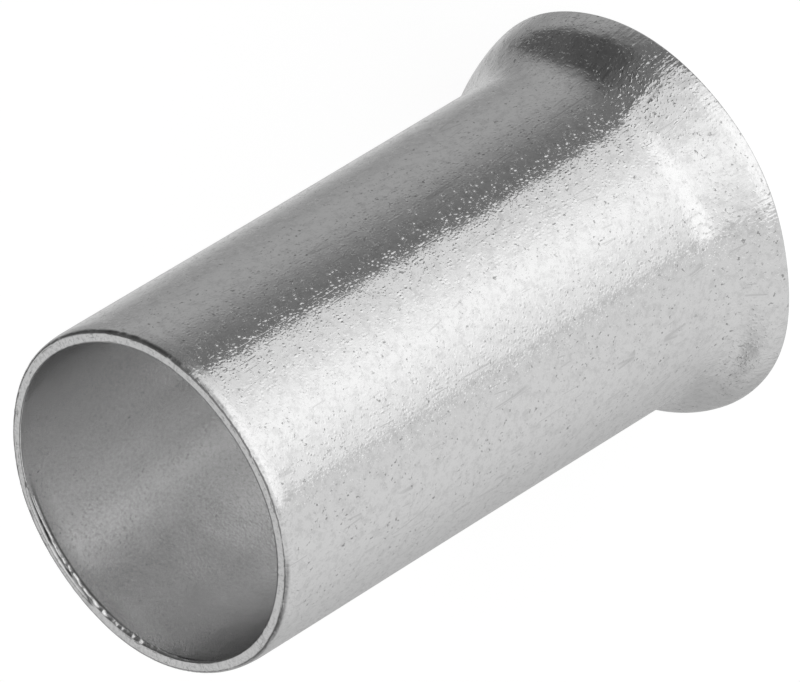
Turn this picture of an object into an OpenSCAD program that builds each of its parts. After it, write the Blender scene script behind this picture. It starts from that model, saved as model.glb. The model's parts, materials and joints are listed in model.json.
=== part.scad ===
// Bare wire ferrule: one piece of thin drawn copper tube, tin plated.
// A straight barrel is crimped over stripped strands, and one end is belled out
// into a mouth that guides the strands in. The ferrule stands on its mouth.

/* [Barrel] */
// Bore that the stripped strands fill
bore_d = 5.9; // [4.5:0.1:10.5]
// Thickness of the drawn tube
wall_t = 0.2; // [0.15:0.01:0.3]
// Overall length, from the mouth to the cut end
overall_len = 12; // [10:0.5:32]

/* [Mouth] */
// How far the lip stands out beyond the barrel, measured on the radius
flare_overhang = 0.6; // [0.5:0.05:1.2]
// Steepest slope of the flare's wall, in degrees from the axis
flare_angle = 38; // [32:1:42]
// Slope that is left at the lip, in degrees from the axis
lip_angle = 10; // [2:1:16]
// Radius of the cove where the barrel turns into the flare, on the outside
cove_r = 1.5; // [0.8:0.1:1.8]
// Length of the straight slope between the cove and the crown
flare_flat = 0.1; // [0.05:0.01:0.2]
// Rounding of the lip's outer edge
lip_r = 0.04; // [0.02:0.01:0.06]

/* [Cut end] */
// Rounding of the outer edge, left by tumbling
cut_outer_r = 0.05; // [0.02:0.01:0.08]
// Rounding of the inner edge, left by deburring
cut_inner_r = 0.02; // [0.01:0.01:0.05]

/* [Hidden] */

// Facets of a full turn
$fn = 180;

// How far the slope's ends run into the crown and the cove, so that they cross cleanly
slope_lap = 0.0005;

bore_r = bore_d / 2;
barrel_r = bore_r + wall_t;

// The flare is an S: a cove out of the barrel, a short straight slope, and a crown
// that turns back towards the lip. The crown's radius follows from the overhang
// that the cove, the slope and the lip's rounding leave to it.
crown_overhang = flare_overhang - lip_r * (1 - cos(lip_angle))
    - cove_r * (1 - cos(flare_angle)) - flare_flat * sin(flare_angle);
crown_r = crown_overhang / (cos(lip_angle) - cos(flare_angle));

lip_centre = [barrel_r + flare_overhang - lip_r, lip_r];
crown_centre = lip_centre - (crown_r - lip_r) * toward(lip_angle);
slope_run = flare_flat * [-sin(flare_angle), cos(flare_angle)];
cove_centre = crown_centre + (crown_r + cove_r) * toward(flare_angle) + slope_run;
flare_height = cove_centre.y;

cut_outer_centre = [barrel_r - cut_outer_r, overall_len - cut_outer_r];
cut_inner_centre = [bore_r + cut_inner_r, overall_len - cut_inner_r];

// Unit vector at an angle from the radius
function toward(angle) = [cos(angle), sin(angle)];

// Point at a distance and an angle from a centre
function polar_point(centre, r, angle) = centre + r * toward(angle);

// Half section of everything inside the flare's skin, or inside a skin that is
// set in by the wall. Both skins bend round the same two centres.
module flare_section(inset) {
    crown_hub = polar_point(crown_centre, crown_r / 2, flare_angle);
    past_lip = polar_point(crown_centre, 2 * crown_r, lip_angle);
    // crown, kept to the part above the ground and above the lip's slope
    intersection() {
        translate(crown_centre)
            circle(crown_r - inset);
        polygon([
            [crown_centre.x, 0],
            [lip_centre.x, 0],
            lip_centre,
            past_lip,
            [past_lip.x, flare_height],
            [crown_centre.x, flare_height]
        ]);
    }
    // straight slope, and the cove above it
    difference() {
        polygon([
            [0, 0],
            [crown_centre.x, 0],
            crown_hub,
            polar_point(crown_centre, crown_r - inset - slope_lap, flare_angle),
            polar_point(cove_centre, slope_lap - cove_r - inset, flare_angle),
            cove_centre,
            [0, flare_height]
        ]);
        translate(cove_centre)
            circle(cove_r + inset);
    }
}

// Half section of everything inside the tube's outer skin
module outer_section() {
    flare_section(0);
    translate(lip_centre)
        circle(lip_r);
    square([barrel_r, cut_outer_centre.y]);
    square([cut_outer_centre.x, overall_len]);
    translate(cut_outer_centre)
        circle(cut_outer_r);
}

// Half section of the passage for the strands, with the cut end's inner edge deburred
module passage_section() {
    flare_section(wall_t);
    square([bore_r, overall_len]);
    difference() {
        translate([bore_r, cut_inner_centre.y])
            square(cut_inner_r);
        translate(cut_inner_centre)
            circle(cut_inner_r);
    }
}

// The whole ferrule: a drawn and belled tube, tin plated all over
module ferrule() {
    color("silver")
        rotate_extrude()
            difference() {
                outer_section();
                passage_section();
            }
}

ferrule();
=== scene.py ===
# Tin-plated copper ferrule for a stranded wire: shape, finish, light and camera.
import json
import math
import bpy
import numpy as np
from mathutils import Matrix, Vector


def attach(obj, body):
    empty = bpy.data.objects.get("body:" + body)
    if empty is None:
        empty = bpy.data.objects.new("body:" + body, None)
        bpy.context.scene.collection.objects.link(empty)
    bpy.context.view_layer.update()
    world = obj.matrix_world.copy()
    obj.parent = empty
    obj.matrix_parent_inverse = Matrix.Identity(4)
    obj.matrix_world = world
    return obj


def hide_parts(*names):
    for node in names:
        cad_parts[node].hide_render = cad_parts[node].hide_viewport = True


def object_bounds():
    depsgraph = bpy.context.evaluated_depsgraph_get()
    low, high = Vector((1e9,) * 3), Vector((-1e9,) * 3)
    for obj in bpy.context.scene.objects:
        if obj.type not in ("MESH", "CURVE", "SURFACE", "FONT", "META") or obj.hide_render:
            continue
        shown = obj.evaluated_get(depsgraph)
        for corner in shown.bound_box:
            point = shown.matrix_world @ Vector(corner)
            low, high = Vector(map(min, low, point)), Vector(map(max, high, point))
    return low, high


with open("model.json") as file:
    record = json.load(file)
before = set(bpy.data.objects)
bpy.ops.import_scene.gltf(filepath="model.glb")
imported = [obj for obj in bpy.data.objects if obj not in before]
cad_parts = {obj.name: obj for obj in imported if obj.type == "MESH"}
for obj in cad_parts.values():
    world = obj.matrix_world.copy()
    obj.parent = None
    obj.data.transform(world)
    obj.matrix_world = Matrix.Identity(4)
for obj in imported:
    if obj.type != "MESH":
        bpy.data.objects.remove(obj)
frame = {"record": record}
cadLow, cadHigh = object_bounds()
mounts = {mount["name"]: mount for mount in frame["record"]["mounts"]}
mm = 0.001
print("frame loaded")


def fromHex(colour):
    # sRGB hex to the linear colour that a shader takes
    parts = [int(colour[i:i + 2], 16) / 255 for i in (1, 3, 5)]
    return [part / 12.92 if part <= 0.04045 else ((part + 0.055) / 1.055) ** 2.4 for part in parts] + [1]


def addNode(tree, kind, settings):
    # a setting is one of the node's own properties or an input, by its name or number; an input takes
    # a value, another node (its first output) or one output of another node
    made = tree.nodes.new(kind)
    for name, value in settings.items():
        if isinstance(value, bpy.types.Node):
            tree.links.new(value.outputs[0], made.inputs[name])
        elif isinstance(value, bpy.types.NodeSocket):
            tree.links.new(value, made.inputs[name])
        elif isinstance(name, str) and hasattr(made, name):
            setattr(made, name, value)
        else:
            made.inputs[name].default_value = value
    return made


def emptyTree(owner):
    owner.use_nodes = True
    owner.node_tree.nodes.clear()
    return owner.node_tree


def addObject(name, data):
    made = bpy.data.objects.new(name, data)
    bpy.context.scene.collection.objects.link(made)
    return made


ferrule = {
    "coveRadius": 1.5 * mm,        # where the barrel turns into the flare, outside
    "slopeAngle": 38,              # steepest part of the flare, degrees from the axis
    "slopeLength": 0.1 * mm,
    "lipAngle": 10,                # slope left at the lip
    "lipRadius": 0.04 * mm,
    "cutOuterRadius": 0.085 * mm,  # tumbled outer edge of the cut end
    "cutInnerRadius": 0.02 * mm,   # deburred inner edge
    "rolloverLength": 0.2 * mm,    # the shear drew the outer skin in over this much of the cut end
    "rolloverDepth": 0.02 * mm,
    "turns": 600,                  # faces round the tube
    # faces along each stretch of the wall
    "steps": {"lip": 8, "crown": 14, "cove": 18, "barrel": 22, "rollover": 10, "cutEdge": 8,
              "innerCove": 12, "innerCrown": 8},
    # rows across the cut face, as shares of its width, and down the bore from its edge; close
    # together where the burr stands
    "faceRows": (0.1, 0.28, 0.46, 0.62, 0.74, 0.83, 0.9, 0.96),
    "edgeRows": [row * mm for row in (0.01, 0.022, 0.036, 0.055, 0.08, 0.115, 0.16)],
    "restRows": (0.06, 0.5, 0.94),
    # how far each part is out of round, as lobes: (count, height in mm, heading in degrees)
    "lipLobes": [(1, 0.01, 40), (2, 0.03, 75), (3, 0.04, -50), (4, 0.01, 10), (5, 0.025, -30),
                 (6, 0.02, -15), (7, 0.02, 0)],
    "cutLobes": [(0, 0.02, 0), (1, 0.025, 85), (2, 0.02, -40), (3, 0.01, 25), (4, 0.01, 40), (6, 0.01, 10)],
    "boreLobes": [(0, -0.04, 0), (1, 0.02, 90)],
    "barrelLobes": [(3, 0.01, -40)],
    "lipReach": 1.3,               # the lip's lobes die out at this many flare heights
    "cutReach": 0.5,               # the cut end's at this share of the length
    "boreEase": (0.045 * mm, 0.3 * mm),   # the bore's start on the face and die out in the bore
    # the flare is fuller on one side
    "fullHeight": 0.07 * mm,
    "fullLevel": 0.62 * mm,
    "fullReach": 0.3 * mm,
    "fullHeading": 325,
    "fullSpread": 42,
    "footReach": 0.1 * mm,         # the fullness leaves the lip's foot alone
}

# What the shear did to the cut end, and the shade painted on it. Headings and spreads are degrees
# round the tube; "At" and "Reach" are lengths along the skin, from the bore's edge inwards; blurs count
# faces.
cutEnd = {
    "nickDepth": 0.012 * mm,       # nicks along the outer edge
    "nickReach": 0.02 * mm,
    "nickShare": (0.7, 1.4),       # how much of a nick goes in and down
    "nickBlur": (5, 1.2),
    "faceHeight": 0.004 * mm,      # how far the face is from flat
    "faceReach": 0.05 * mm,
    "faceBlur": (4, 1),
    "burrLean": 0.095 * mm,        # a torn burr leans over the bore by this much
    "leanStart": (-0.03 * mm, 0.03 * mm),
    "leanEnd": (0.035 * mm, 0.09 * mm),
    "leanHeading": 110,
    "leanSpread": 46,
    "burrRise": 0.02 * mm,         # and stands this much over the face
    "riseAt": -0.002 * mm,
    "riseReach": 0.012 * mm,
    "riseTorn": (1.6, -0.3),       # the torn parts stand higher
    "burrHeading": 120,
    "burrSpread": 44,
    "tornMean": 0.7,               # the burr's tears: usual size, fine ones off and on it, and slow ones
    "tornFine": (0.12, 0.3),
    "tornSlow": 0.15,
    "tornBlur": (1, 8),
    "tornPower": 0.8,
    "gapDepth": 0.07 * mm,         # open gap between the face and the burr
    "gapAt": -0.018 * mm,
    "gapReach": 0.014 * mm,
    "gapHeading": 86,
    "gapSpread": 25,
    "gapUneven": (0.85, 0.4),      # usual size, and how far it varies
    "gapBlur": 2,
    "underAt": 0.11 * mm,          # painted shade on the bore under the burr
    "underReach": 0.045 * mm,
    "underHeading": 115,
    "underSpread": 60,
    "edgeShadeSides": ((205, 34), (322, 48)),   # painted shade along the outer edge: heading and spread
    "edgeShadeReach": 0.024 * mm,
    "dirtUneven": (0.5, 0.5),      # usual amount, and how far it varies
    "dirtBlur": 4,
    "paintedShadeShare": (1.1, 0.5),      # how much painted shade the gap and the nicks take
    "sideSharpness": 1.4,          # how soon each of these comes to its full size round the tube
    "seeds": {"nick": (3, 4), "face": (5, 6), "torn": (7, 8), "gap": 9, "dirt": 10},
}


def onCircle(centre, radius, degrees):
    turn = math.radians(degrees)
    return (centre[0] + radius * math.cos(turn), centre[1] + radius * math.sin(turn))


def arcPoints(centre, radius, start, end, steps):
    return [onCircle(centre, radius, start + (end - start) * i / steps) for i in range(steps + 1)]


def smooth(x):
    x = np.clip(x, 0, 1)
    return x * x * (3 - 2 * x)


def bell(distance, reach):
    return np.exp(-(distance / reach) ** 2)


def wallSection(shape):
    # outline of the wall, radius and height, from the lip up the outside and down the bore
    steps = shape["steps"]
    boreRadius = mounts["conductor_bore"]["dims"]["r_mm"] * mm
    barrelRadius = mounts["terminal_barrel"]["dims"]["r_mm"] * mm
    wall = barrelRadius - boreRadius
    lipRadius, coveRadius, cutOuterRadius = shape["lipRadius"], shape["coveRadius"], shape["cutOuterRadius"]
    lipAngle, slopeAngle, slopeLength = shape["lipAngle"], shape["slopeAngle"], shape["slopeLength"]
    steep, shallow = math.radians(slopeAngle), math.radians(lipAngle)
    top = cadHigh.z
    crownShare = cadHigh.x - barrelRadius - lipRadius * (1 - math.cos(shallow)) \
        - coveRadius * (1 - math.cos(steep)) - slopeLength * math.sin(steep)
    crownRadius = crownShare / (math.cos(shallow) - math.cos(steep))
    lip = (cadHigh.x - lipRadius, lipRadius)
    crown = onCircle(lip, lipRadius - crownRadius, lipAngle)
    hub = onCircle(crown, crownRadius + coveRadius, slopeAngle)
    cove = (hub[0] - slopeLength * math.sin(steep), hub[1] + slopeLength * math.cos(steep))
    cutInner = (boreRadius + shape["cutInnerRadius"], top - shape["cutInnerRadius"])
    innerCrown = crownRadius - wall
    groundAngle = math.degrees(math.asin(-crown[1] / innerCrown))
    groundRadius = onCircle(crown, innerCrown, groundAngle)[0]
    straight = top - cutOuterRadius - cove[1]
    plain = straight - shape["rolloverLength"]

    outside = arcPoints(lip, lipRadius, -90, lipAngle, steps["lip"])
    outside += arcPoints(crown, crownRadius, lipAngle, slopeAngle, steps["crown"])[1:]
    outside += arcPoints(cove, coveRadius, 180 + slopeAngle, 180, steps["cove"])
    barrelSteps = steps["barrel"]
    outside += [(barrelRadius, cove[1] + plain * i / barrelSteps) for i in range(1, barrelSteps + 1)]

    # the cut end: rollover, round outer edge, face and round inner edge
    drawn = [i / steps["rollover"] for i in range(1, steps["rollover"] + 1)]
    rim = [(barrelRadius - shape["rolloverDepth"] * share ** 2,
            cove[1] + plain + shape["rolloverLength"] * share) for share in drawn]
    # slope at the rollover's end, where the round edge takes over
    turned = math.degrees(math.atan(2 * shape["rolloverDepth"] / shape["rolloverLength"]))
    edge = onCircle(rim[-1], -cutOuterRadius, turned)
    rim += arcPoints(edge, cutOuterRadius, turned, 90, steps["cutEdge"])[1:]
    rise = top - edge[1] - cutOuterRadius      # the rollover's end sets how high the round reaches
    start = rim[0][1]
    rim = [(r, z + rise * smooth((z - start) / (top - rise - start))) for r, z in rim]
    rim += [(edge[0] + (cutInner[0] - edge[0]) * share, top) for share in shape["faceRows"]]
    rim += arcPoints(cutInner, shape["cutInnerRadius"], 90, 180, steps["cutEdge"])

    inside = [(boreRadius, cutInner[1] - row) for row in shape["edgeRows"]]
    inside += [(boreRadius, cutInner[1] - straight * i / barrelSteps) for i in range(1, barrelSteps)]
    inside += arcPoints(cove, coveRadius + wall, 180, 180 + slopeAngle, steps["innerCove"])
    inside += arcPoints(crown, innerCrown, slopeAngle, groundAngle, steps["innerCrown"])
    rest = [(groundRadius + (lip[0] - groundRadius) * share, 0) for share in shape["restRows"]]
    stretches = (outside, rim, inside, rest)
    return {"outline": np.array(sum(stretches, [])), "lengths": [len(stretch) for stretch in stretches],
            "flareHeight": cove[1], "edge": onCircle(edge, cutOuterRadius, 45),
            "faceMiddle": ((edge[0] + cutInner[0]) / 2, top)}


def lobes(table, angle):
    out = np.zeros_like(angle)
    for count, height, heading in table:
        out += height * mm * np.cos(count * (angle - math.radians(heading)))
    return out


def unevenRound(seed, turns, blur, power=1.0):
    # closed run of random values round the tube, smoothed over a few faces, from -1 to 1
    values = np.random.RandomState(seed).uniform(-1, 1, turns)
    offsets = np.arange(-4 * blur, 4 * blur + 1)     # four times the blur holds the whole bell
    weights = np.exp(-0.5 * (offsets / blur) ** 2)
    values = sum(weight * np.roll(values, int(offset)) for weight, offset in zip(weights, offsets))
    values = values / np.abs(values).max()
    return np.sign(values) * np.abs(values) ** power


def outOfRound(shape, section, radius, height, theta, isOutside):
    # the tube's own unevenness, before the cut end's
    nearLip = smooth(1 - height / (shape["lipReach"] * section["flareHeight"]))
    nearCut = smooth((height / cadHigh.z - 1 + shape["cutReach"]) / shape["cutReach"])
    radius = radius + lobes(shape["barrelLobes"], theta) + nearLip * lobes(shape["lipLobes"], theta) \
        + nearCut * lobes(shape["cutLobes"], theta)
    away = (np.degrees(theta) - shape["fullHeading"] + 180) % 360 - 180
    fuller = isOutside * smooth(height / shape["footReach"]) * bell(away, shape["fullSpread"]) \
        * bell(height - shape["fullLevel"], shape["fullReach"])
    return radius + shape["fullHeight"] * fuller


def raggedCut(cut, shape, section, height, angle, pastEdge):
    # how far each point moves in and down at the cut end, and how much painted shade it takes there
    turns, seeds = len(angle), cut["seeds"]
    baseRadius = section["outline"][:, 0][:, None]

    def near(point, reach):
        return np.exp(-((baseRadius - point[0]) ** 2 + (height - point[1]) ** 2) / (2 * reach ** 2))

    def side(heading, spread):
        start = math.cos(math.radians(spread))
        return smooth((np.cos(angle - math.radians(heading)) - start) / (1 - start) * cut["sideSharpness"])

    def wander(name):
        slow, fine = (unevenRound(seed, turns, blur) for seed, blur in zip(seeds[name], cut[name + "Blur"]))
        return (slow + fine) / 2

    def uneven(name):
        mean, swing = cut[name + "Uneven"]
        return mean + swing * unevenRound(seeds[name], turns, cut[name + "Blur"])

    nick = near(section["edge"], cut["nickReach"]) * cut["nickDepth"] * np.clip(wander("nick"), 0, 1)
    faceWave = near(section["faceMiddle"], cut["faceReach"]) * cut["faceHeight"] * wander("face")

    burrSide = side(cut["burrHeading"], cut["burrSpread"])
    fine = unevenRound(seeds["torn"][0], turns, cut["tornBlur"][0], cut["tornPower"])
    slow = unevenRound(seeds["torn"][1], turns, cut["tornBlur"][1])
    fineShare = cut["tornFine"][0] + cut["tornFine"][1] * burrSide
    torn = cut["tornMean"] + fineShare * fine + cut["tornSlow"] * slow
    leaning = smooth((pastEdge - cut["leanStart"][0]) / (cut["leanStart"][1] - cut["leanStart"][0])) \
        * smooth((cut["leanEnd"][1] - pastEdge) / (cut["leanEnd"][1] - cut["leanEnd"][0]))
    lean = leaning * cut["burrLean"] * side(cut["leanHeading"], cut["leanSpread"]) * torn
    ridge = bell(pastEdge - cut["riseAt"], cut["riseReach"]) * cut["burrRise"] * burrSide
    gap = bell(pastEdge - cut["gapAt"], cut["gapReach"]) * uneven("gap") \
        * side(cut["gapHeading"], cut["gapSpread"])

    # painted shade on the bore just under the burr
    under = bell(pastEdge - cut["underAt"], cut["underReach"]) \
        * side(cut["underHeading"], cut["underSpread"])
    # painted shade along the cut end's outer edge, broken up round the tube
    dirt = sum(side(heading, spread) for heading, spread in cut["edgeShadeSides"])
    dirt = near(section["edge"], cut["edgeShadeReach"]) * dirt * np.clip(uneven("dirt"), 0, 1)
    # painted shade: the gap and the nicks are darkened as well as cut in
    inGap, inNick = cut["paintedShadeShare"]
    paintedShade = inGap * gap + inNick * nick / cut["nickDepth"] + under + dirt

    onFace, inBore = shape["boreEase"]
    innerEdge = smooth((pastEdge + onFace) / onFace) * smooth(1 - pastEdge / inBore)
    outwards = innerEdge * lobes(shape["boreLobes"], angle) - nick * cut["nickShare"][0] - lean
    upwards = faceWave + ridge * (cut["riseTorn"][0] * torn + cut["riseTorn"][1]) \
        - nick * cut["nickShare"][1] - gap * cut["gapDepth"]
    return outwards, upwards, np.clip(paintedShade, 0, 1)


def buildFerrule(shape, cut):
    section = wallSection(shape)
    outline, turns = section["outline"], shape["turns"]
    rows = len(outline)
    finishOf = np.repeat([0, 1, 2, 0], section["lengths"])      # outer skin, cut edge, bore, outer skin
    isOutside = (np.arange(rows) < section["lengths"][0])[:, None]
    angle = np.arange(turns) * 2 * math.pi / turns
    theta, radius = np.meshgrid(angle, outline[:, 0])
    height = np.repeat(outline[:, 1][:, None], turns, 1)
    run = np.concatenate([[0], np.cumsum(np.hypot(*np.diff(outline, axis=0).T))])
    pastEdge = (run - run[sum(section["lengths"][:2]) - 1])[:, None]   # along the skin from the bore's edge
    radius = outOfRound(shape, section, radius, height, theta, isOutside)
    outwards, upwards, paintedShade = raggedCut(cut, shape, section, height, angle, pastEdge)
    radius, height = radius + outwards, height + upwards

    points = np.stack([radius * np.cos(theta), radius * np.sin(theta), height], -1).reshape(-1, 3)
    row, column = np.meshgrid(np.arange(rows), np.arange(turns), indexing="ij")
    nextRow, nextColumn = (row + 1) % rows, (column + 1) % turns
    faces = np.stack([row * turns + column, row * turns + nextColumn, nextRow * turns + nextColumn,
                      nextRow * turns + column], -1).reshape(-1, 4)
    mesh = bpy.data.meshes.new("ferrule_tube")
    mesh.from_pydata(points.tolist(), [], faces.tolist())
    mesh.polygons.foreach_set("material_index", np.repeat(finishOf, turns))
    mesh.polygons.foreach_set("use_smooth", np.ones(len(faces), bool))
    # painted shade for the finishes: dark in the gap, the nicks, under the burr and along the outer edge
    paintedShadeLayer = mesh.attributes.new("paintedShade", "FLOAT", "POINT")
    paintedShadeLayer.data.foreach_set("value", paintedShade.reshape(-1).astype(np.float32))

    # the skin unrolled flat, in mm: round the tube and along the wall
    girth = 2 * math.pi * outline[:, 0].min() / mm
    runEnd = np.append(run, run[-1] + abs(outline[-1, 0] - outline[0, 0])) / mm
    u = np.stack([column, column + 1, column + 1, column], -1) / turns * girth
    v = np.stack([runEnd[row], runEnd[row], runEnd[row + 1], runEnd[row + 1]], -1)
    layer = mesh.uv_layers.new(name="unrolled")
    layer.data.foreach_set("uv", np.stack([u, v], -1).reshape(-1).astype(np.float32))
    mesh.update()
    return addObject("ferrule_tube", mesh)


tube = buildFerrule(ferrule, cutEnd)
print("ferrule built:", len(tube.data.polygons), "faces")

# shorthands for nodes that do sums, blend softly or work on the flat skin
times = {"operation": "MULTIPLY"}
plus = {"operation": "ADD"}
minus = {"operation": "SUBTRACT"}
timesPlus = {"operation": "MULTIPLY_ADD"}
unsigned = {"operation": "ABSOLUTE"}
larger = {"operation": "MAXIMUM"}
smaller = {"operation": "MINIMUM"}
softly = {"interpolation_type": "SMOOTHSTEP"}
onSkin = {"noise_dimensions": "2D"}


def fromTo(low, high):
    return {"From Min": low, "From Max": high}


# Tumbled tin plate on drawn copper: a bright satin grey with a fine orange peel that sparkles
# where a light ends, tiny dark flecks where barrels rubbed in the drum, and hairline scratches.
# Widths, heights, depths and reaches are in mm. The facets, domes, mottle and flecks stand for
# the real grains and rub marks and are drawn a few times coarser, so that they show.
tinPlate = {
    "colour": "#e0e0e0",
    "metallic": 1,
    "roughness": 0.12,
    "roughSwing": 0.06,             # the slow unevenness moves it this far
    "livelyWidth": 0.16,            # some places are livelier than others
    "facetWidth": 0.064,            # tumbling left small tilted facets
    "facetTilt": 0.265,             # steepest one, as a slope
    "facetLean": (8, 3, 0),         # how far they lean round the tube and along it, as a ratio
    "facetEdge": (0.15, 0.65),      # they flatten out over this share of a cell
    "facetLively": (0.25, 0.6),     # range of the liveliness over which they come up
    "facetOnFlare": -0.38,          # the flare has shallower ones
    "peelWidth": 0.05,              # low domes between them
    "peelGrain": (1, 1, 1),
    "peelRange": (0.57, 0.84),      # part of the noise that rises as a dome
    "peelHeight": 0.0018,
    "peelLively": (2.2, -0.1),      # how the liveliness raises them: gain and offset
    "peelOnFlare": 0.8,             # the flare has higher ones
    "flatHeight": 0.0009,           # how uneven the flats are
    "waveWidth": 0.6,               # slow unevenness of the drawn tube
    "waveHeight": 0.008,
    "mottleColour": "#858585",      # mottle, flecks and hairlines tend to this
    "mottleWidth": 0.18,            # grey mottle of the plate's grains
    "mottleTurn": 0.6,
    "mottleGrain": (1, 0.85, 1),
    "mottleRange": (0.42, 0.72),
    "mottleShade": 0.2,
    "fleckWidth": 0.078,            # noise that the flecks are the peaks of
    "fleckTurn": -0.5,
    "fleckGrain": (1, 0.8, 1),
    "fleckStart": 0.635,            # lower gives more flecks
    "fleckFade": 0.11,
    "fleckShade": 0.8,
    "fleckDepth": 0.0014,
    "clusterWidth": 0.5,            # the flecks come in clusters
    "clusterRange": (0.32, 0.62),
    "hairWidth": 0.01,              # width of a hairline
    "hairSpacing": 0.5,
    "hairGrain": (1, 0.1, 1),
    "hairLines": ((0.9, 0.6), (-1.3, 0.58)),   # two sets: heading, and the level they follow
    "hairPlaces": (0.58, 0.63),
    "hairDepth": 0.0009,
    "hairShade": 0.3,
    "puckerWidth": 0.24,            # belling puckered the flare
    "puckerHeight": 0.01,
    "strainWidth": 0.05,            # lines drawn out towards the lip where the mouth was belled
    "strainGrain": (1, 0.16, 1),
    "strainHeight": 0.006,
    "strainReach": (0.15, 0.75),    # they fade out between these heights over the lip
    "flareReach": (1.2, 1.8),       # where the flare's facets and puckers end, up from the lip
    "bellReach": (1.0, 2.0),        # and its higher domes
    # dark grey of the painted shade in the gap, the nicks, under the burr and along the outer edge
    "paintedShadeColour": "#484848",
}


def tinPlateMaterial(name, finish):
    material = bpy.data.materials.new(name)
    tree = emptyTree(material)
    skin = addNode(tree, "ShaderNodeUVMap", {"uv_map": "unrolled"})     # mm along the skin
    fromLip = addNode(tree, "ShaderNodeSeparateXYZ", {0: skin}).outputs[1]
    lively = addNode(tree, "ShaderNodeTexNoise", {
        **onSkin, "Vector": skin, "Scale": 1 / finish["livelyWidth"], "Detail": 0})
    wave = addNode(tree, "ShaderNodeTexNoise", {
        **onSkin, "Vector": skin, "Scale": 1 / finish["waveWidth"], "Detail": 1, "Roughness": 0.4})
    onFlare = addNode(tree, "ShaderNodeMapRange", {
        **softly, "Value": fromLip, **fromTo(*finish["flareReach"]),
        "To Min": 1, "To Max": 0})

    # mottle
    turned = addNode(tree, "ShaderNodeMapping", {
        "Vector": skin, "Rotation": (0, 0, finish["mottleTurn"]), "Scale": finish["mottleGrain"]})
    mottle = addNode(tree, "ShaderNodeTexNoise", {
        **onSkin, "Vector": turned, "Scale": 1 / finish["mottleWidth"], "Detail": 3, "Roughness": 0.8})
    mottleShade = addNode(tree, "ShaderNodeMapRange", {
        **softly, "Value": mottle, **fromTo(*finish["mottleRange"]),
        "To Max": finish["mottleShade"]})

    # flecks, in clusters
    turned = addNode(tree, "ShaderNodeMapping", {
        "Vector": skin, "Rotation": (0, 0, finish["fleckTurn"]), "Scale": finish["fleckGrain"]})
    fleck = addNode(tree, "ShaderNodeTexNoise", {
        **onSkin, "Vector": turned, "Scale": 1 / finish["fleckWidth"], "Detail": 2, "Roughness": 0.6})
    fleck = addNode(tree, "ShaderNodeMapRange", {
        **softly, "Value": fleck, "From Min": finish["fleckStart"],
        "From Max": finish["fleckStart"] + finish["fleckFade"]})
    cluster = addNode(tree, "ShaderNodeTexNoise", {
        **onSkin, "Vector": skin, "Scale": 1 / finish["clusterWidth"], "Detail": 1})
    cluster = addNode(tree, "ShaderNodeMapRange", {
        **softly, "Value": cluster, **fromTo(*finish["clusterRange"])})
    fleck = addNode(tree, "ShaderNodeMath", {**times, 0: fleck, 1: cluster})

    # hairlines: level lines of a long stretched noise, kept in a few places
    away = []
    for heading, level in finish["hairLines"]:
        turned = addNode(tree, "ShaderNodeMapping", {
            "Vector": skin, "Rotation": (0, 0, heading), "Scale": finish["hairGrain"]})
        long = addNode(tree, "ShaderNodeTexNoise", {
            **onSkin, "Vector": turned, "Detail": 0, "Scale": 1 / finish["hairSpacing"]})
        off = addNode(tree, "ShaderNodeMath", {**minus, 0: long, 1: level})
        away.append(addNode(tree, "ShaderNodeMath", {**unsigned, 0: off}))
    hair = addNode(tree, "ShaderNodeMath", {**smaller, 0: away[0], 1: away[1]})
    hair = addNode(tree, "ShaderNodeMapRange", {
        **softly, "Value": hair, "From Min": 0, "From Max": finish["hairWidth"] / finish["hairSpacing"],
        "To Min": 1, "To Max": 0})
    places = addNode(tree, "ShaderNodeMapRange", {
        **softly, "Value": wave, **fromTo(*finish["hairPlaces"])})
    hair = addNode(tree, "ShaderNodeMath", {**times, 0: hair, 1: places})

    # each cell of a Voronoi texture is a facet with a tilt of its own; most are nearly level, and
    # drawing and tumbling leaned them one way round the tube
    cell = addNode(tree, "ShaderNodeTexVoronoi", {
        "voronoi_dimensions": "2D", "Vector": skin, "Randomness": 1, "Scale": 1 / finish["facetWidth"]})
    chance = addNode(tree, "ShaderNodeVectorMath", {**minus, 0: cell.outputs["Color"], 1: (0.5, 0.5, 0.5)})
    square = addNode(tree, "ShaderNodeVectorMath", {**times, 0: chance, 1: chance})
    leaned = addNode(tree, "ShaderNodeVectorMath", {**unsigned, 0: chance})
    steep = addNode(tree, "ShaderNodeVectorMath", {**times, 0: square, 1: finish["facetLean"]})
    tilt = addNode(tree, "ShaderNodeVectorMath", {**times, 0: leaned, 1: steep})
    within = addNode(tree, "ShaderNodeVectorMath", {**minus, 0: skin, 1: cell.outputs["Position"]})
    plane = addNode(tree, "ShaderNodeVectorMath", {"operation": "DOT_PRODUCT", 0: tilt, 1: within})
    middle = addNode(tree, "ShaderNodeMapRange", {
        **softly, "Value": cell.outputs["Distance"], **fromTo(*finish["facetEdge"]),
        "To Min": finish["facetTilt"], "To Max": 0})
    places = addNode(tree, "ShaderNodeMapRange", {
        **softly, "Value": lively, **fromTo(*finish["facetLively"])})
    milder = addNode(tree, "ShaderNodeMath", {**timesPlus, 0: onFlare, 1: finish["facetOnFlare"], 2: 1})
    facet = addNode(tree, "ShaderNodeMath", {**times, 0: plane.outputs["Value"], 1: middle})
    facet = addNode(tree, "ShaderNodeMath", {**times, 0: facet, 1: places})
    facet = addNode(tree, "ShaderNodeMath", {**times, 0: facet, 1: milder})

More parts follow.
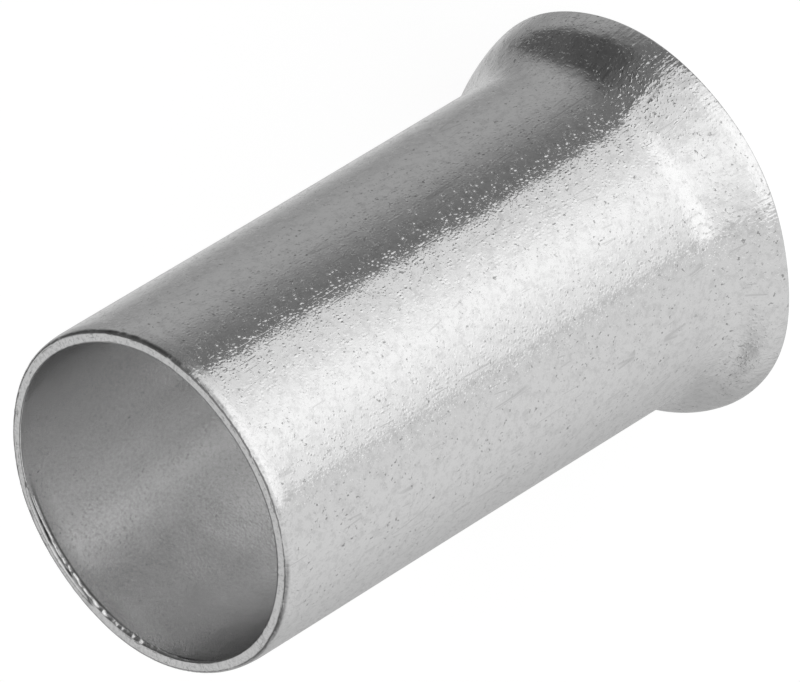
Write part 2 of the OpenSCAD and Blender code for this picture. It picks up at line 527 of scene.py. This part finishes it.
    # domes
    stretched = addNode(tree, "ShaderNodeMapping", {"Vector": skin, "Scale": finish["peelGrain"]})
    peel = addNode(tree, "ShaderNodeTexNoise", {
        **onSkin, "Vector": stretched, "Scale": 1 / finish["peelWidth"], "Detail": 1})
    dome = addNode(tree, "ShaderNodeMapRange", {
        **softly, "Value": peel, **fromTo(*finish["peelRange"]),
        "To Max": finish["peelHeight"]})
    places = addNode(tree, "ShaderNodeMath", {
        **timesPlus, 0: lively, 1: finish["peelLively"][0], 2: finish["peelLively"][1]})
    higher = addNode(tree, "ShaderNodeMapRange", {
        **softly, "Value": fromLip, **fromTo(*finish["bellReach"]),
        "To Min": finish["peelOnFlare"], "To Max": 0})
    dome = addNode(tree, "ShaderNodeMath", {**times, 0: dome, 1: places})
    dome = addNode(tree, "ShaderNodeMath", {**timesPlus, 0: dome, 1: higher, 2: dome})

    # puckers and strain lines on the flare
    pucker = addNode(tree, "ShaderNodeTexNoise", {
        **onSkin, "Vector": skin, "Scale": 1 / finish["puckerWidth"], "Detail": 1})
    pucker = addNode(tree, "ShaderNodeMath", {**times, 0: pucker, 1: onFlare})
    stretched = addNode(tree, "ShaderNodeMapping", {"Vector": skin, "Scale": finish["strainGrain"]})
    strain = addNode(tree, "ShaderNodeTexNoise", {
        **onSkin, "Vector": stretched, "Detail": 1, "Scale": 1 / finish["strainWidth"]})
    places = addNode(tree, "ShaderNodeMapRange", {
        **softly, "Value": fromLip, **fromTo(*finish["strainReach"]),
        "To Min": finish["strainHeight"], "To Max": 0})
    strain = addNode(tree, "ShaderNodeMath", {**times, 0: strain, 1: places})

    height = addNode(tree, "ShaderNodeMath", {**plus, 0: dome, 1: facet})
    height = addNode(tree, "ShaderNodeMath", {**plus, 0: height, 1: strain})
    for part, tall in ((pucker, finish["puckerHeight"]), (peel, finish["flatHeight"]),
                       (wave, finish["waveHeight"]), (fleck, -finish["fleckDepth"]),
                       (hair, -finish["hairDepth"])):
        height = addNode(tree, "ShaderNodeMath", {**timesPlus, 0: part, 1: tall, 2: height})
    bump = addNode(tree, "ShaderNodeBump", {"Strength": 1, "Distance": mm, "Height": height})

    fleckShade = addNode(tree, "ShaderNodeMath", {**times, 0: fleck, 1: finish["fleckShade"]})
    hairShade = addNode(tree, "ShaderNodeMath", {**times, 0: hair, 1: finish["hairShade"]})
    shade = addNode(tree, "ShaderNodeMath", {**larger, 0: fleckShade, 1: hairShade})
    shade = addNode(tree, "ShaderNodeMath", {**larger, 0: mottleShade, 1: shade})
    plate = addNode(tree, "ShaderNodeMix", {
        "data_type": "RGBA", 0: shade, 6: fromHex(finish["colour"]),
        7: fromHex(finish["mottleColour"])})
    # painted shade: the ferrule's layer darkens the colour in the gap, the nicks, under the burr and along
    # the outer edge
    paintedShade = addNode(tree, "ShaderNodeAttribute", {"attribute_name": "paintedShade"})
    tone = addNode(tree, "ShaderNodeMix", {
        "data_type": "RGBA", 0: paintedShade.outputs["Fac"], 6: plate.outputs[2],
        7: fromHex(finish["paintedShadeColour"])})
    rough = addNode(tree, "ShaderNodeMath", {
        **timesPlus, 0: wave, 1: finish["roughSwing"],
        2: finish["roughness"] - finish["roughSwing"] / 2})
    shader = addNode(tree, "ShaderNodeBsdfPrincipled", {
        "Metallic": finish["metallic"], "Normal": bump, "Base Color": tone.outputs[2],
        "Roughness": rough})
    addNode(tree, "ShaderNodeOutputMaterial", {"Surface": shader})
    return material


# Sheared tin-plated edge: the same plate drawn across the cut by the blade, duller and finely lined.
shearedEdge = {**tinPlate, "roughness": 0.22, "facetTilt": 0.1, "peelHeight": 0.003,
               "peelGrain": (0.25, 1, 1), "mottleWidth": 0.06, "mottleShade": 0.26, "fleckShade": 0.2}

# Drawn tin-plated bore: smooth from the drawing plug, so it mirrors itself softly, with a fine
# grey grain and no tumbling marks. The plate lies thinner here, which takes some of its shine.
# its grey, lighter than the outer plate's, is painted light for the dim inside of the bore
drawnBore = {**tinPlate, "colour": "#ebebeb", "metallic": 0.87, "roughness": 0.15, "facetTilt": 0.08,
             "peelHeight": 0.0011, "mottleWidth": 0.058, "mottleShade": 0.23, "fleckWidth": 0.06,
             "fleckStart": 0.63, "fleckShade": 0.5, "hairShade": 0, "puckerHeight": 0}

for coat in (tinPlateMaterial("TumbledTinPlate", tinPlate),
             tinPlateMaterial("ShearedTinPlatedEdge", shearedEdge),
             tinPlateMaterial("DrawnTinPlatedBore", drawnBore)):
    tube.data.materials.append(coat)
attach(tube, "root")
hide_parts("ferrule")
print("finishes made")

# Uncoated white paper, matt and even. It gives off its own white, so that the sheet stays plain.
floorSheet = {
    "width": 0.9,
    "drop": 0.002 * mm,     # just under the ferrule's mouth
    "colour": "#f4f4f4",
    "glow": 1.0,
    "share": 0.25,          # how much of its white takes light as well
}


def buildFloor(sheet):
    half = sheet["width"] / 2
    mesh = bpy.data.meshes.new("floor")
    signs = ((-1, -1), (1, -1), (1, 1), (-1, 1))
    mesh.from_pydata([(x * half, y * half, -sheet["drop"]) for x, y in signs], [], [(0, 1, 2, 3)])
    made = addObject("floor", mesh)
    material = bpy.data.materials.new("WhiteSweepPaper")
    tree = emptyTree(material)
    white = fromHex(sheet["colour"])
    lit = [part * sheet["share"] for part in white[:3]] + [1]
    paper = addNode(tree, "ShaderNodeBsdfPrincipled", {
        "Base Color": lit, "Roughness": 1, "Specular IOR Level": 0, "Emission Color": white,
        "Emission Strength": sheet["glow"]})
    addNode(tree, "ShaderNodeOutputMaterial", {"Surface": paper})
    mesh.materials.append(material)
    made.visible_glossy = False
    made.visible_diffuse = False
    made.visible_shadow = False
    return made


floor = buildFloor(floorSheet)

# A light tent as seen from the ferrule. Azimuth is measured from the front, to the right; each panel
# covers an azimuth and elevation range with soft ends, and has the grey it shows in tin. A panel
# lies over the ones before it.
tent = {
    "base": 164,
    "panels": [
        {"azimuth": (-180, 60), "fade": (110, 1), "elevation": (-99, 99), "lift": 5, "grey": 204},
        {"azimuth": (-46, -36), "fade": (3, 3), "elevation": (-99, 99), "lift": 5, "grey": 188},
        {"azimuth": (-41, 60), "fade": (4, 1), "elevation": (-99, 99), "lift": 5, "grey": 213},
        {"azimuth": (-41, 0), "fade": (4, 38), "elevation": (-99, 99), "lift": 5, "grey": 223},
        {"azimuth": (-38, 34), "fade": (38, 38), "elevation": (-99, 99), "lift": 5, "grey": 246},
        {"azimuth": (-46, 40), "fade": (12, 30), "elevation": (-36, 4), "lift": 12, "grey": 252},
        {"azimuth": (43, 190), "fade": (4, 1), "elevation": (-99, 99), "lift": 5, "grey": 154},
        {"azimuth": (43, 100), "fade": (4, 42), "elevation": (-99, 99), "lift": 5, "grey": 108},
        {"azimuth": (114, 150), "fade": (14, 18), "elevation": (-99, 99), "lift": 5, "grey": 142},
        {"azimuth": (140, 180), "fade": (26, 14), "elevation": (-99, 99), "lift": 5, "grey": 190},
        {"azimuth": (50, 150), "fade": (24, 56), "elevation": (-27, 140), "lift": 38, "grey": 74},
        {"azimuth": (90, 190), "fade": (30, 1), "elevation": (-12, 110), "lift": 16, "grey": 80},
        {"azimuth": (-190, -110), "fade": (1, 40), "elevation": (-37, 110), "lift": 9, "grey": 160},
        {"azimuth": (-190, -80), "fade": (1, 50), "elevation": (0, 110), "lift": 18, "grey": 86},
        {"azimuth": (-190, 190), "fade": (1, 1), "elevation": (58, 110), "lift": 14, "grey": 120},
        {"azimuth": (136, 190), "fade": (24, 1), "elevation": (18, 64), "lift": 10, "grey": 190},
        {"azimuth": (-190, -136), "fade": (1, 24), "elevation": (18, 64), "lift": 10, "grey": 190},
    ],
}


def greyToLight(grey):
    return fromHex("#%02x%02x%02x" % (grey, grey, grey))[0] / fromHex(tinPlate["colour"])[0]


def softSpan(tree, angle, ends, fades):
    # one between the two ends, falling off inside each over its own fade
    rise = addNode(tree, "ShaderNodeMapRange", {
        **softly, "Value": angle, "From Min": ends[0], "From Max": ends[0] + fades[0]})
    fall = addNode(tree, "ShaderNodeMapRange", {
        **softly, "Value": angle, "From Min": ends[1] - fades[1], "From Max": ends[1], "To Min": 1,
        "To Max": 0})
    return addNode(tree, "ShaderNodeMath", {**times, 0: rise, 1: fall})


def buildTent(settings):
    world = bpy.data.worlds.new("light_tent")
    bpy.context.scene.world = world
    tree = emptyTree(world)
    look = addNode(tree, "ShaderNodeTexCoord", {}).outputs["Generated"]
    right, back, up = addNode(tree, "ShaderNodeSeparateXYZ", {0: look}).outputs
    front = addNode(tree, "ShaderNodeMath", {**times, 0: back, 1: -1})
    azimuth = addNode(tree, "ShaderNodeMath", {"operation": "ARCTAN2", 0: right, 1: front})
    azimuth = addNode(tree, "ShaderNodeMath", {"operation": "DEGREES", 0: azimuth})
    elevation = addNode(tree, "ShaderNodeMath", {"operation": "ARCSINE", 0: up})
    elevation = addNode(tree, "ShaderNodeMath", {"operation": "DEGREES", 0: elevation})
    level = greyToLight(settings["base"])
    for panel in settings["panels"]:
        across = softSpan(tree, azimuth, panel["azimuth"], panel["fade"])
        along = softSpan(tree, elevation, panel["elevation"], (panel["lift"], panel["lift"]))
        cover = addNode(tree, "ShaderNodeMath", {**times, 0: across, 1: along})
        level = addNode(tree, "ShaderNodeMix", {
            "data_type": "FLOAT", 0: cover, 2: level, 3: greyToLight(panel["grey"])})
    seen = addNode(tree, "ShaderNodeLightPath", {}).outputs["Is Camera Ray"]
    # the camera itself sees a plain white backdrop
    shown = addNode(tree, "ShaderNodeMix", {"data_type": "FLOAT", 0: seen, 2: level, 3: 1})
    background = addNode(tree, "ShaderNodeBackground", {"Color": (1, 1, 1, 1), "Strength": shown})
    addNode(tree, "ShaderNodeOutputWorld", {"Surface": background})


buildTent(tent)
bpy.context.scene.view_settings.view_transform = "Standard"
print("light and floor ready")

view = {
    "distance": 261 * mm,
    "elevation": 38.25,     # degrees above the horizon
    "azimuth": 0,
    "roll": -121.4,         # the camera lies over so that the barrel runs up to the right
    "aim": (0.12 * mm, -0.16 * mm, 5.8 * mm),
    "lens": 695.6,          # very long, so that both ends are nearly the same size
    "clip": (1 * mm, 10),
}


def buildCamera(settings):
    data = bpy.data.cameras.new("camera")
    data.lens = settings["lens"]
    data.clip_start, data.clip_end = settings["clip"]
    made = addObject("camera", data)
    turn, tilt = math.radians(settings["azimuth"]), math.radians(settings["elevation"])
    back = Vector((math.sin(turn) * math.cos(tilt), -math.cos(turn) * math.cos(tilt), math.sin(tilt)))
    side = Vector((math.cos(turn), math.sin(turn), 0))
    facing = Matrix((side, back.cross(side), back)).transposed()
    facing = facing @ Matrix.Rotation(math.radians(settings["roll"]), 3, "Z")
    made.matrix_world = Matrix.Translation(Vector(settings["aim"]) + back * settings["distance"]) \
        @ facing.to_4x4()
    bpy.context.scene.camera = made


buildCamera(view)
print("camera set")

bpy.context.view_layer.update()
